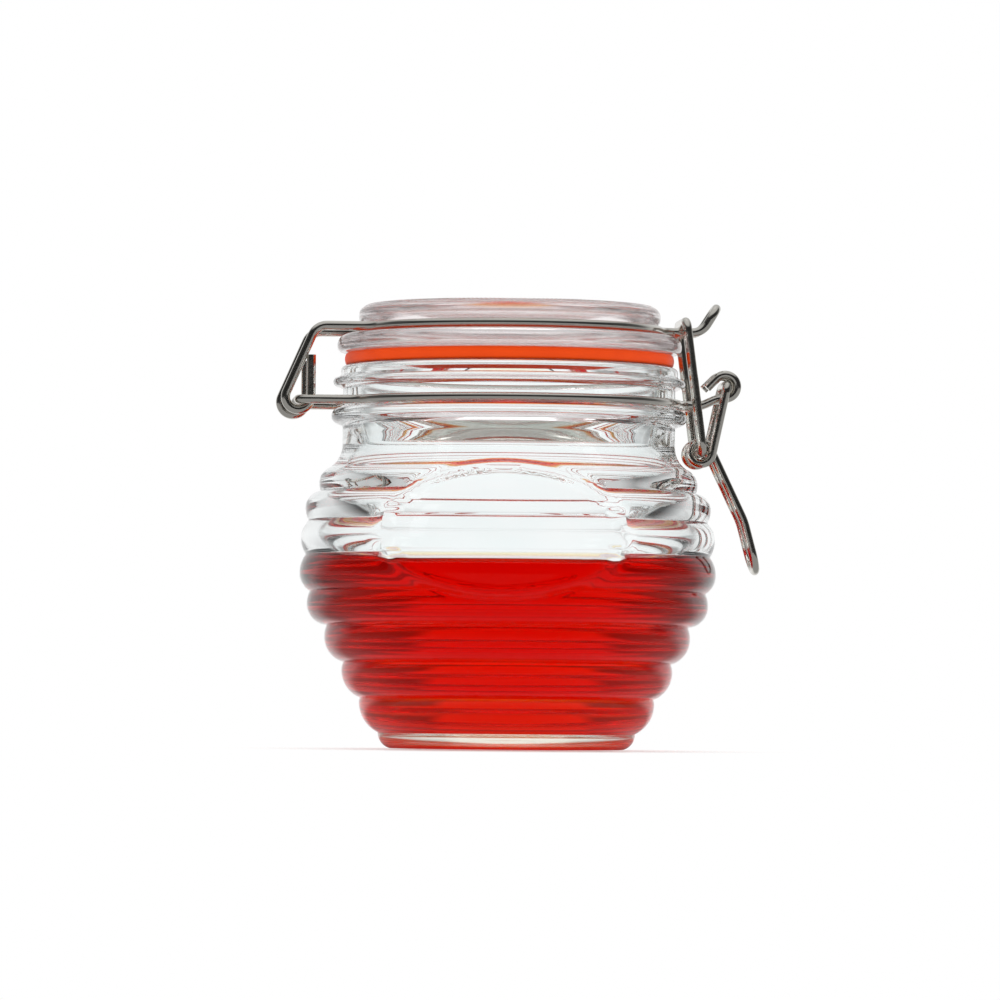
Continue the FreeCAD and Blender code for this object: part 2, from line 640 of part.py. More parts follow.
os.makedirs("parts", exist_ok=True)
for name, make in NODES.items():
    shape = make()
    shape.exportStep(os.path.join("parts", name + ".step"))
    b = shape.BoundBox
    print(name, shape.ShapeType, "valid" if shape.isValid() else "INVALID",
          "faces %d volume %.1f mm3" % (len(shape.Faces), shape.Volume),
          "box %.1f..%.1f %.1f..%.1f %.1f..%.1f"
          % (b.XMin, b.XMax, b.YMin, b.YMax, b.ZMin, b.ZMax))
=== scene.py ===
"""A swing top honey pot: a beehive jar of pressed clear glass, filled with
honey to the middle of its body, under a glass lid that a toggle clasp of
spring wire pulls down on a rubber ring.

The model's own frame: +Z up, the jar stands on z = 0, its axis is the Z axis,
the hinge is on -X, the lever on +X, and the plain oval field faces -Y.
Sizes are in millimetres until mesh points are made, then in metres.
"""

import math

import bpy
from mathutils import Matrix, Vector


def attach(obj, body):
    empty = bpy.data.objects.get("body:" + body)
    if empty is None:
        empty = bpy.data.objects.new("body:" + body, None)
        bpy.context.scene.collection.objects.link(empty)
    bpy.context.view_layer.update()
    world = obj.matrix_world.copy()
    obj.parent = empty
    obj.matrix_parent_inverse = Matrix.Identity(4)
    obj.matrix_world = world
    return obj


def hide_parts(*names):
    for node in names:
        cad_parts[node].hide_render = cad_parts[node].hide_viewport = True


MM = 0.001

# ---------------------------------------------------------------- jar, glass
FOOT_IN, FOOT = 26.1, 29.6          # the flat ring that the jar stands on
PUNT = 2.2                          # hollow under the base
HEEL = (32.6, 3.9)
RINGS = [                           # widest point, then the notch above it
    (37.4, 11.6, 37.1, 12.6),
    (41.9, 19.6, 41.5, 21.6),
    (46.3, 28.0, 45.8, 30.9),
    (50.8, 36.4, 50.1, 39.5),
    (52.7, 44.2, 51.2, 48.8),
    (52.4, 52.9, 50.5, 57.4),
    (51.3, 60.7, 47.6, 64.9),
]
SHOULDER, SHOULDER_END = (47.9, 66.9), (45.2, 70.9)
NECK = (42.15, 76.6, 81.3)
NECK_BEAD = (45.0, 81.9, 85.9)
WIRE_GROOVE = (42.1, 86.5, 90.8)
COLLAR = (44.6, 91.4, 93.6)
RIM = (42.7, 94.2, 96.6)
RIM_ROUND = 1.3
BEAD_BULGE, COLLAR_BULGE = 1.7, 1.2     # how far their arcs stand out
MOUTH = 37.7
INNER = [                           # inner face, from the floor's middle up
    (0.0, 7.6), (12.0, 7.1), (21.0, 6.9), (27.3, 7.8), (31.2, 10.4),
    (34.7, 14.6), (39.1, 22.8), (43.3, 32.0), (46.9, 40.2), (48.3, 48.8),
    (47.6, 57.0), (44.9, 63.6), (40.7, 70.4), (38.6, 76.0), (37.8, 82.5),
    (37.7, 95.3),
]
NOTCH_ROUND = 0.42                  # pressed glass fills its sharp corners

# --------------------------------------------------- plain oval field on -Y
FIELD_TURN = 6.0                    # degrees from -Y towards -X
FIELD_Z = 54.3
FIELD_A, FIELD_B = 33.5, 16.6
FIELD_FACE = [
    (51.7, 33.0), (52.9, 38.5), (53.2, 45.0), (53.0, 51.5), (52.2, 58.0),
    (50.6, 63.5), (48.6, 68.0), (46.2, 72.5), (44.0, 76.0),
]
FIELD_EDGE = 1.1                    # how softly the rings run out into it
FIELD_R = 52.0                      # radius at which the oval is measured
LINE_IN, LINE_W, LINE_H = 1.9, 0.95, 0.35

# --------------------------------------------------------------------- honey
HONEY_Z = 47.0
HONEY_SKIN = 0.3                    # how far it reaches into the wall
MENISCUS = 1.1
HONEY_DIP = 0.9                     # the level, below its edge on the glass

# ---------------------------------------------------------------- seal, lid
SEAL_IN, SEAL_OUT, SEAL_Z0, SEAL_Z1 = 35.6, 41.6, 96.8, 99.9
SEAL_ROUND, SEAL_BULGE = 0.8, 0.12      # its edges, and its outer face
LID_Z = 100.05
TEETH = 200
TEETH_BAND = (33.2, 36.6)
TOOTH_H = 0.5
TEETH_Z = 111.0                     # nothing below this is milled
LID_GROOVE, LID_BEAD = 37.1, 38.2   # radii of the wire's groove and the top
LID_UNDER = 3.75                    # how deep the centring ring reaches

# ------------------------------------------------------------- floor, camera
SHADOW_ZONE = (0.03, 0.08)          # m from the axis, full to nothing
SHADOW, POLISH = 0.7, 0.2           # how matt and how polished it is there
SCREEN_TURN = 0.05                  # radians, the screen's middle from +Y
CAMERA_TURN = 4.5                   # degrees from -Y towards -X
CAMERA_D, CAMERA_Z = 1600.0, 12.5
AIM_Z, AIM_SIDE = 63.0, -2.1
LENS = 227.5
ROLL = 0.5


CORNER_ANGLE = 28.0                 # degrees; sharper edges stay corners


# ------------------------------------------------------------------- helpers
def linear(code):
    """A colour written as sRGB hex, as the linear RGBA that nodes take."""
    parts = [int(code[i:i + 2], 16) / 255 for i in (1, 3, 5)]
    return tuple(c / 12.92 if c <= 0.04045 else ((c + 0.055) / 1.055) ** 2.4
                 for c in parts) + (1.0,)


def arc(a, m, b, steps):
    """Points of the arc from a through m to b, a left out."""
    (ax, ay), (mx, my), (bx, by) = a, m, b
    d = 2 * (ax * (my - by) + mx * (by - ay) + bx * (ay - my))
    sa, sm, sb = ax * ax + ay * ay, mx * mx + my * my, bx * bx + by * by
    cx = (sa * (my - by) + sm * (by - ay) + sb * (ay - my)) / d
    cy = (sa * (bx - mx) + sm * (ax - bx) + sb * (mx - ax)) / d
    r = math.hypot(ax - cx, ay - cy)
    t0, tm, t1 = (math.atan2(y - cy, x - cx)
                  for x, y in ((ax, ay), (mx, my), (bx, by)))
    turn = (t1 - t0) % math.tau
    if (tm - t0) % math.tau > turn:
        turn -= math.tau
    return [(cx + r * math.cos(t0 + turn * i / steps),
             cy + r * math.sin(t0 + turn * i / steps))
            for i in range(1, steps + 1)]


def swell(notch, widest):
    """Middle of the arc from a notch to a point where the arc is upright."""
    dr, dz = widest[0] - notch[0], widest[1] - notch[1]
    rho = (dr * dr + dz * dz) / (2 * dr)
    cx, cz = widest[0] - rho, widest[1]
    mx = (notch[0] + widest[0]) / 2 - cx
    mz = (notch[1] + widest[1]) / 2 - cz
    k = abs(rho) / math.hypot(mx, mz)
    return (cx + mx * k, cz + mz * k)


def smooth_through(points, steps):
    """A smooth line through the points, each stretch in so many steps."""
    out = [points[0]]
    for i in range(len(points) - 1):
        p0 = points[max(i - 1, 0)]
        p1, p2 = points[i], points[i + 1]
        p3 = points[min(i + 2, len(points) - 1)]
        for k in range(1, steps + 1):
            t = k / steps
            out.append(tuple(
                0.5 * (2 * b + (c - a) * t
                       + (2 * a - 5 * b + 4 * c - d) * t * t
                       + (3 * b - a - 3 * c + d) * t ** 3)
                for a, b, c, d in zip(p0, p1, p2, p3)))
    return out


def radius_at(points, z):
    """The radius of an outline of rising (radius, height) points at z."""
    for (r0, z0), (r1, z1) in zip(points, points[1:]):
        if z0 <= z <= z1:
            return r0 + (r1 - r0) * (z - z0) / (z1 - z0)
    return points[0][0] if z < points[0][1] else points[-1][0]


def deselect():
    if bpy.context.object and bpy.context.object.mode != "OBJECT":
        bpy.ops.object.mode_set(mode="OBJECT")
    bpy.ops.object.select_all(action="DESELECT")


def shade(obj):
    """Smooth faces that stay flat right up to the piece's real corners."""
    deselect()
    obj.select_set(True)
    bpy.context.view_layer.objects.active = obj
    bpy.ops.object.shade_smooth_by_angle(angle=math.radians(CORNER_ANGLE))


def spun(name, outline, sectors, corners=(), corner=0.0):
    """A solid of revolution: the outline, (radius, height) in mm, is drawn in
    the XZ plane, its corners are rounded, and it is spun about Z sector by
    sector, (steps, degrees) each."""
    deselect()
    curve = bpy.data.curves.new(name, "CURVE")
    curve.dimensions = "3D"
    line = curve.splines.new("POLY")
    line.points.add(len(outline) - 1)
    for point, (r, z) in zip(line.points, outline):
        point.co = (r * MM, 0, z * MM, 1)
    obj = bpy.data.objects.new(name, curve)
    bpy.context.collection.objects.link(obj)
    bpy.context.view_layer.objects.active = obj
    obj.select_set(True)
    bpy.ops.object.convert(target="MESH")
    obj = bpy.context.object
    obj.name = name
    if corners:
        for v in obj.data.vertices:
            v.select = any(abs(v.co.x / MM - r) < 0.002
                           and abs(v.co.z / MM - z) < 0.002
                           for r, z in corners)
        bpy.ops.object.mode_set(mode="EDIT")
        bpy.ops.mesh.select_mode(type="VERT")
        bpy.ops.mesh.bevel(affect="VERTICES", offset=corner * MM, segments=3,
                           clamp_overlap=True)
    bpy.ops.object.mode_set(mode="EDIT")
    bpy.ops.mesh.select_all(action="SELECT")
    for steps, degrees in sectors:
        bpy.ops.mesh.spin(steps=steps, angle=math.radians(degrees),
                          center=(0, 0, 0), axis=(0, 0, 1))
    bpy.ops.mesh.select_all(action="SELECT")
    bpy.ops.mesh.remove_doubles(threshold=2e-6)
    bpy.ops.mesh.normals_make_consistent(inside=False)
    bpy.ops.object.mode_set(mode="OBJECT")
    shade(obj)
    return obj


def weight(obj, name, value):
    """A vertex group whose weight at each vertex is value(point in mm)."""
    group = obj.vertex_groups.new(name=name)
    for v in obj.data.vertices:
        w = value(v.co / MM)
        if w > 0:
            group.add([v.index], min(w, 1.0), "REPLACE")
    return group


def apply_modifier(obj, kind, **settings):
    """A modifier added and applied at once."""
    deselect()
    obj.select_set(True)
    bpy.context.view_layer.objects.active = obj
    mod = obj.modifiers.new(kind.lower(), kind)
    for key, value in settings.items():
        setattr(mod, key, value)
    bpy.ops.object.modifier_apply(modifier=mod.name)


def add(tree, kind, links=None, **settings):
    """One node: its settings, socket values and links into it."""
    node = tree.nodes.new(kind)
    for key, value in settings.items():
        setattr(node, key, value)
    for key, value in (links or {}).items():
        if hasattr(value, "is_output"):
            tree.links.new(value, node.inputs[key])
        else:
            node.inputs[key].default_value = value
    return node


def material(name):
    mat = bpy.data.materials.new(name)
    mat.use_nodes = True
    mat.node_tree.nodes.clear()
    return mat, mat.node_tree


# --------------------------------------------------------------------- frame
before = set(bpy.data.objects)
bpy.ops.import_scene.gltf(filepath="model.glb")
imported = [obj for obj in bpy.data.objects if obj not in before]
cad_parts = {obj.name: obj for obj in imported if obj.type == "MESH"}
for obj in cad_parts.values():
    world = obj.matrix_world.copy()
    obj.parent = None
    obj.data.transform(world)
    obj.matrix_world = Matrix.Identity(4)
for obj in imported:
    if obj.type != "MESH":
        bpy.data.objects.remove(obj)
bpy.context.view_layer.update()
deselect()


# ----------------------------------------------------------------- materials
def lamps_through(tree, surface, tint, volume=None):
    """Finishes a clear material so that lamps reach what lies behind it."""
    path = add(tree, "ShaderNodeLightPath")
    clear = add(tree, "ShaderNodeBsdfTransparent", {"Color": linear(tint)})
    mix = add(tree, "ShaderNodeMixShader",
              {0: path.outputs["Is Shadow Ray"], 1: surface.outputs[0],
               2: clear.outputs[0]})
    out = add(tree, "ShaderNodeOutputMaterial", {"Surface": mix.outputs[0]})
    if volume:
        tree.links.new(volume.outputs[0], out.inputs["Volume"])


def soda_lime_glass(name, tint, gleam, softness):
    """Pressed soda-lime glass: clear with a slight grey-green cast on the jar;
    the lid's pink cast is a painted reflection of the orange seal. Its faces
    are fire polished, so they are mirror smooth but never quite flat."""
    mat, tree = material(name)
    where = add(tree, "ShaderNodeTexCoord")
    waves = add(tree, "ShaderNodeTexNoise",
                {"Vector": where.outputs["Object"], "Scale": 60.0,
                 "Detail": 1.0, "Roughness": 0.3})        # 16 mm across
    cast = add(tree, "ShaderNodeValToRGB", {"Fac": waves.outputs["Fac"]})
    cast.color_ramp.elements[0].color = linear(tint)
    cast.color_ramp.elements[1].color = linear("#feffff")
    bump = add(tree, "ShaderNodeBump",
               {"Height": waves.outputs["Fac"], "Strength": 0.06,
                "Distance": 0.0002})
    glass = add(tree, "ShaderNodeBsdfPrincipled",
                {"Base Color": cast.outputs["Color"], "Roughness": softness,
                 "IOR": 1.52, "Specular Tint": linear(gleam),
                 "Transmission Weight": 1.0, "Normal": bump.outputs[0]})
    lamps_through(tree, glass, tint)
    return mat


def clear_honey():
    """Clear runny honey: it swallows blue within millimetres and green
    within a few centimetres, so it is amber where thin and red where deep."""
    mat, tree = material("runny_honey")
    surface = add(tree, "ShaderNodeBsdfPrincipled",
                  {"Base Color": linear("#ffffff"), "Roughness": 0.05,
                   "IOR": 1.49, "Specular Tint": linear("#000000"),
                   "Transmission Weight": 1.0})
    depth = add(tree, "ShaderNodeVolumeAbsorption",
                {"Color": (0.988, 0.79, 0.18, 1.0), "Density": 360.0})
    lamps_through(tree, surface, "#f0561c", depth)
    return mat


def natural_rubber():
    """Moulded orange rubber: an even matt colour, with a fine bloom and a
    soft shine."""
    mat, tree = material("orange_rubber")
    where = add(tree, "ShaderNodeTexCoord")
    cloud = add(tree, "ShaderNodeTexNoise",
                {"Vector": where.outputs["Object"], "Scale": 180.0,
                 "Detail": 3.0})                          # 5 mm clouds
    grain = add(tree, "ShaderNodeTexNoise",
                {"Vector": where.outputs["Object"], "Scale": 3500.0,
                 "Detail": 2.0})                          # 0.3 mm grain
    tone = add(tree, "ShaderNodeValToRGB", {"Fac": cloud.outputs["Fac"]})
    tone.color_ramp.elements[0].color = linear("#dc4000")
    tone.color_ramp.elements[1].color = linear("#ea4a00")
    bump = add(tree, "ShaderNodeBump",
               {"Height": grain.outputs["Fac"], "Strength": 0.25,
                "Distance": 0.00006})
    rubber = add(tree, "ShaderNodeBsdfPrincipled",
                 {"Base Color": tone.outputs["Color"], "Roughness": 0.5,
                  "IOR": 1.52, "Specular IOR Level": 0.15,
                  "Normal": bump.outputs[0]})
    add(tree, "ShaderNodeOutputMaterial", {"Surface": rubber.outputs[0]})
    return mat


def spring_wire():
    """Bright drawn stainless spring wire: a hard mirror along its length,
    broken by the faint scuffs of bending."""
    mat, tree = material("stainless_spring_wire")
    where = add(tree, "ShaderNodeTexCoord")
    scuffs = add(tree, "ShaderNodeTexNoise",
                 {"Vector": where.outputs["Object"], "Scale": 900.0,
                  "Detail": 4.0, "Roughness": 0.65})      # 1 mm scuffs
    dull = add(tree, "ShaderNodeMapRange",
               {"Value": scuffs.outputs["Fac"], "From Min": 0.35,
                "From Max": 0.75, "To Min": 0.12, "To Max": 0.2})
    tone = add(tree, "ShaderNodeValToRGB", {"Fac": scuffs.outputs["Fac"]})
    tone.color_ramp.elements[0].color = linear("#ccc9c2")
    tone.color_ramp.elements[1].color = linear("#d8d5ce")
    bump = add(tree, "ShaderNodeBump",
               {"Height": scuffs.outputs["Fac"], "Strength": 0.1,
                "Distance": 0.00002})
    wire = add(tree, "ShaderNodeBsdfPrincipled",
               {"Base Color": tone.outputs["Color"], "Metallic": 1.0,
                "Roughness": dull.outputs["Result"],
                "Normal": bump.outputs[0]})
    add(tree, "ShaderNodeOutputMaterial", {"Surface": wire.outputs[0]})
    return mat


jar_glass_finish = soda_lime_glass("soda_lime_glass_jar", "#f6fbfb",
                                  "#8c8c8c", 0.0)
# glass that the honey wets hardly gleams, because honey bends light as it does
wetted_glass_finish = soda_lime_glass("soda_lime_glass_wetted", "#f6fbfb",
                                      "#000000", 0.0)
# the lid's pink cast is a painted reflection of the orange seal, not a colour
# of the glass
lid_glass_painted_pink = soda_lime_glass("soda_lime_glass_lid_painted_pink", "#f4e8e9",
                                   "#a0a0a0", 0.11)
honey_finish = clear_honey()
seal_finish = natural_rubber()
wire_finish = spring_wire()


# ----------------------------------------------------------------- jar glass
def jar_outer():
    """The jar's outer face, from the middle of its base up to the mouth."""
    path = [(0.0, PUNT)]
    path += arc(path[-1], (FOOT_IN * 0.55, PUNT * 0.72), (FOOT_IN, 0.0), 8)
    path += [((FOOT_IN + FOOT) / 2, 0.0), (FOOT, 0.0)]
    path += arc(path[-1], swell((FOOT, 0.0), HEEL), HEEL, 6)
    notch = HEEL
    for wr, wz, nr, nz in RINGS:
        path += arc(notch, swell(notch, (wr, wz)), (wr, wz), 13)
        path += arc((wr, wz), swell((nr, nz), (wr, wz)), (nr, nz), 9)
        notch = (nr, nz)
    path += arc(notch, swell(notch, SHOULDER), SHOULDER, 6)
    path += arc(SHOULDER, swell(SHOULDER_END, SHOULDER), SHOULDER_END, 8)
    neck, z0, z1 = NECK
    path += arc(SHOULDER_END, swell(SHOULDER_END, (neck, z0)), (neck, z0), 10)
    path += [(neck, (z0 + z1) / 2), (neck, z1)]
    r, z0, z1 = NECK_BEAD
    path += [(r - BEAD_BULGE, z0)]
    path += arc(path[-1], (r, (z0 + z1) / 2), (r - BEAD_BULGE, z1), 18)
    r, z0, z1 = WIRE_GROOVE
    path += [(r, z0), (r, z1)]
    r, z0, z1 = COLLAR
    path += [(r - COLLAR_BULGE, z0)]
    path += arc(path[-1], (r, (z0 + z1) / 2), (r - COLLAR_BULGE, z1), 12)
    r, z0, z1 = RIM
    path += [(r, z0), (r, (z0 + z1) / 2), (r, z1 - RIM_ROUND)]
    k = RIM_ROUND * (1 - math.sqrt(0.5))
    path += arc(path[-1], (r - k, z1 - k), (r - RIM_ROUND, z1), 10)
    path += [(MOUTH + RIM_ROUND, z1)]
    path += arc(path[-1], (MOUTH + k, z1 - k), (MOUTH, z1 - RIM_ROUND), 10)
    return path


inner = smooth_through(INNER, 3)
outer = jar_outer()
notches = [HEEL] + [(nr, nz) for _, _, nr, nz in RINGS]
jar = spun("jar_clear_glass", outer + list(reversed(inner))[1:],
           [(96, 222 - FIELD_TURN), (168, 84), (27, 54 + FIELD_TURN)],
           notches + [(FOOT_IN, 0.0), (FOOT, 0.0), SHOULDER_END], NOTCH_ROUND)


def field_distance(point):
    """How far outside the oval's edge a point of the outer face lies, in mm;
    None away from the face."""
    r = math.hypot(point.x, point.y)
    z = point.z
    if not 30 < z < 80 or r < radius_at(inner, z) + 1.0 or point.y > 0:
        return None
    turn = math.atan2(point.x, -point.y) + math.radians(FIELD_TURN)
    u, v = turn * FIELD_R, z - FIELD_Z
    f = (u / FIELD_A) ** 2 + (v / FIELD_B) ** 2 - 1
    slope = 2 * math.hypot(u / FIELD_A ** 2, v / FIELD_B ** 2)
    return f / max(slope, 1e-6)


def in_field(point):
    d = field_distance(point)
    if d is None:
        return 0.0
    t = min(max(0.5 - d / (2 * FIELD_EDGE), 0.0), 1.0)
    return t * t * (3 - 2 * t)


def on_line(point):
    d = field_distance(point)
    if d is None:
        return 0.0
    t = abs(d + LINE_IN) / LINE_W
    return 0.5 + 0.5 * math.cos(math.pi * t) if t < 1 else 0.0


face = spun("field_face", smooth_through(FIELD_FACE, 6), [(360, 360)])
weight(jar, "field", in_field)
apply_modifier(jar, "SHRINKWRAP", target=face, vertex_group="field",
               wrap_method="NEAREST_SURFACEPOINT", wrap_mode="ON_SURFACE")
bpy.data.objects.remove(face)
weight(jar, "line", on_line)
apply_modifier(jar, "DISPLACE", vertex_group="line", strength=LINE_H * MM,
               mid_level=0.0, direction="NORMAL")
jar.vertex_groups.clear()
shade(jar)
jar.data.materials.append(jar_glass_finish)
jar.data.materials.append(wetted_glass_finish)
for facet in jar.data.polygons:
    at, way = facet.center / MM, facet.normal
    r = math.hypot(at.x, at.y)
    outward = (at.x * way.x + at.y * way.y) / max(r, 0.1)
    if 2.5 < at.z < HONEY_Z - 0.5 and (outward < -0.05
                                       or way.z > 0 and r < 31):
        facet.material_index = 1
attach(jar, "jar")
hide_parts("jar_glass")


# --------------------------------------------------------------------- honey
def honey_outline():
    """The jar's inner face pushed a little into the wall, up to the level,
    where the honey climbs the glass in a small curve."""
    path = []
    for i, (r, z) in enumerate(inner):
        a, b = inner[max(i - 1, 0)], inner[min(i + 1, len(inner) - 1)]
        dr, dz = b[0] - a[0], b[1] - a[1]
        n = math.hypot(dr, dz)
        r, z = r + dz / n * HONEY_SKIN, z - dr / n * HONEY_SKIN
        if z > HONEY_Z:
            break
        path.append((max(r, 0.0), z))
    path[0] = (0.0, path[0][1])
    wall = radius_at(inner, HONEY_Z) + HONEY_SKIN
    path = [p for p in path if p[1] < HONEY_Z - 0.6]
    path += [(wall, HONEY_Z - 0.1), (wall - 0.05, HONEY_Z + 0.12)]
    for k in range(1, 8):
        t = k / 7
        path.append((wall - HONEY_SKIN - 0.1 - MENISCUS * 2.2 * t,
                     HONEY_Z - HONEY_DIP
                     + MENISCUS * (1 - t) ** 2.4 * 0.85))
    level = HONEY_Z - HONEY_DIP
    path += [(wall * 0.8, level), (wall * 0.45, level), (0.0, level)]
    return path


honey = spun("honey_filling", honey_outline(), [(240, 360)])
honey.data.materials.append(honey_finish)
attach(honey, "jar")
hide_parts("honey")


# ---------------------------------------------------------------------- seal
def seal_outline():
    """A flat ring with rounded edges. It ends on its first point, because
    spun joins no ends."""
    r0, r1, z0, z1 = SEAL_IN, SEAL_OUT, SEAL_Z0, SEAL_Z1
    e = SEAL_ROUND
    k = e * (1 - math.sqrt(0.5))
    path = [(r0, z0 + e)]
    path += arc(path[-1], (r0 + k, z0 + k), (r0 + e, z0), 4)
    path += [(r1 - e, z0)]
    path += arc(path[-1], (r1 - k, z0 + k), (r1, z0 + e), 5)
    path += arc(path[-1], (r1 + SEAL_BULGE, (z0 + z1) / 2), (r1, z1 - e), 4)
    path += arc(path[-1], (r1 - k, z1 - k), (r1 - e, z1), 5)
    path += [(r0 + e, z1)]
    path += arc(path[-1], (r0 + k, z1 - k), (r0, z1 - e), 4)
    return path + path[:1]


seal = spun("rubber_seal", seal_outline(), [(256, 360)])
seal.data.materials.append(seal_finish)
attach(seal, "lid")
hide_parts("seal")


# ----------------------------------------------------------------- lid glass
def lid_outline():
    """From the middle of the top, out over the milled ring, down past the
    wire's groove, and back under the centring ring and the dome."""
    z, g, b = LID_Z, LID_GROOVE, LID_BEAD
    step, bead, side, top = z + 4.5, z + 7.2, z + 9.9, z + 12.1
    path = [(0.0, z + 9.6), (15.0, z + 9.6), (31.0, z + 9.6)]
    path += arc(path[-1], (32.0, top - 1.0), (33.8, top), 8)
    path += [(34.5, top), (35.2, top)]
    path += arc(path[-1], (b - 0.85, top - 0.75), (b, side), 16)
    path += [(b, side - 0.6), (b, bead + 1.6)]
    path += arc(path[-1], (b - 0.4, bead + 0.4), (g, bead - 0.4), 8)
    path += [(g, (step + bead) / 2), (g, step + 0.6)]
    path += arc(path[-1], (g + 0.18, step + 0.18), (g + 0.6, step), 3)
    path += [(41.0, step)]
    path += arc(path[-1], (42.85, step - 0.75), (43.6, z + 1.55), 14)
    path += arc(path[-1], (43.25, z + 0.5), (42.2, z), 10)
    path += [(38.0, z), (35.2, z), (35.2, z - 2.0), (35.2, z - 3.15)]
    path += arc(path[-1], (35.0, z - 3.6), (34.6, z - LID_UNDER), 6)
    path += [(32.2, z - LID_UNDER)]
    path += arc(path[-1], (31.8, z - 3.57), (31.6, z - 3.15), 6)
    path += arc(path[-1], (31.3, z - 1.95), (30.2, z - 0.55), 8)
    path += arc(path[-1], (18.0, z + 3.65), (0.0, z + 4.65), 24)
    return path


lid = spun("lid_clear_glass", lid_outline(), [(2 * TEETH, 360)],
           [(LID_GROOVE, LID_Z + 6.8)], 0.25)


def on_gap(point):
    """One for the low lines of the milled ring between its teeth."""
    r = math.hypot(point.x, point.y)
    if not TEETH_BAND[0] < r < TEETH_BAND[1] or point.z < TEETH_Z:
        return 0.0
    column = round(math.atan2(point.y, point.x) / math.tau * 2 * TEETH)
    return float(column % 2)


weight(lid, "gaps", on_gap)
apply_modifier(lid, "DISPLACE", vertex_group="gaps", direction="Z",
               strength=-TOOTH_H * MM, mid_level=0.0)
lid.vertex_groups.clear()
shade(lid)
lid.data.materials.append(lid_glass_painted_pink)
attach(lid, "lid")
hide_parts("lid_glass")


# --------------------------------------------------------------------- wires
for node in ("neck_wire", "lid_wire", "latch_link", "latch_lever"):
    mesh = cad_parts[node].data
    mesh.materials.clear()
    mesh.materials.append(wire_finish)


# ------------------------------------------------------------ floor and world
def greys(tree, factor, stops):
    """A grey for each place along a factor."""
    ramp = add(tree, "ShaderNodeValToRGB", {"Fac": factor})
    elements = ramp.color_ramp.elements
    for i, (place, grey) in enumerate(stops):
        stop = elements[i] if i < 2 else elements.new(place)
        stop.position = place
        stop.color = (grey, grey, grey, 1)
    return ramp.outputs["Color"]


def blend(tree, kind, a, b):
    """Two greys multiplied, or the lighter of them."""
    mix = add(tree, "ShaderNodeMix", {"Factor": 1.0}, data_type="RGBA",
              blend_type=kind)
    tree.links.new(a, mix.inputs[6])
    tree.links.new(b, mix.inputs[7])
    return mix.outputs[2]


def choose(tree, flag, off, on):
    """The grey or colour on where the flag is one, and off elsewhere."""
    mix = add(tree, "ShaderNodeMix", {"Factor": flag}, data_type="RGBA")
    for value, socket in ((off, mix.inputs[6]), (on, mix.inputs[7])):
        if hasattr(value, "is_output"):
            tree.links.new(value, socket)
        else:
            socket.default_value = (value, value, value, 1)
    return mix.outputs[2]


def way_round(tree, direction):
    """How far round the pot a direction lies: 0 behind it, 1 in front."""
    side = add(tree, "ShaderNodeSeparateXYZ", {"Vector": direction})
    turn = add(tree, "ShaderNodeMath",
               {0: side.outputs["X"], 1: side.outputs["Y"]},
               operation="ARCTAN2")
    aside = add(tree, "ShaderNodeMath",
                {0: turn.outputs[0], 1: SCREEN_TURN},
                operation="SUBTRACT")
    size = add(tree, "ShaderNodeMath", {0: aside.outputs[0]},
               operation="ABSOLUTE")
    part = add(tree, "ShaderNodeMath", {0: size.outputs[0], 1: math.pi},
               operation="DIVIDE")
    return part.outputs[0], side.outputs["Z"]


def gleams(tree, path):
    """One for light that a near face has mirrored, not the far wall."""
    mirrored = add(tree, "ShaderNodeMath",
                   {0: path.outputs["Glossy Depth"], 1: 0.5},
                   operation="GREATER_THAN")
    near = add(tree, "ShaderNodeMath",
               {0: path.outputs["Transmission Depth"], 1: 3.5},
               operation="LESS_THAN")
    return add(tree, "ShaderNodeMath",
               {0: mirrored.outputs[0], 1: near.outputs[0]},
               operation="MULTIPLY").outputs[0]


# Through glass and honey: a white screen behind, dimmer at its two edges
SCREEN = [(0.0, 1.0), (0.098, 1.0), (0.125, 0.38), (0.3, 0.35), (0.4, 0.9),
          (1.0, 1.0)]
# In wire and on the faces of glass: a dark room with the screen behind
ROOM = [(0.0, 1.0), (0.25, 0.9), (0.36, 0.12), (0.62, 0.03), (1.0, 0.02)]


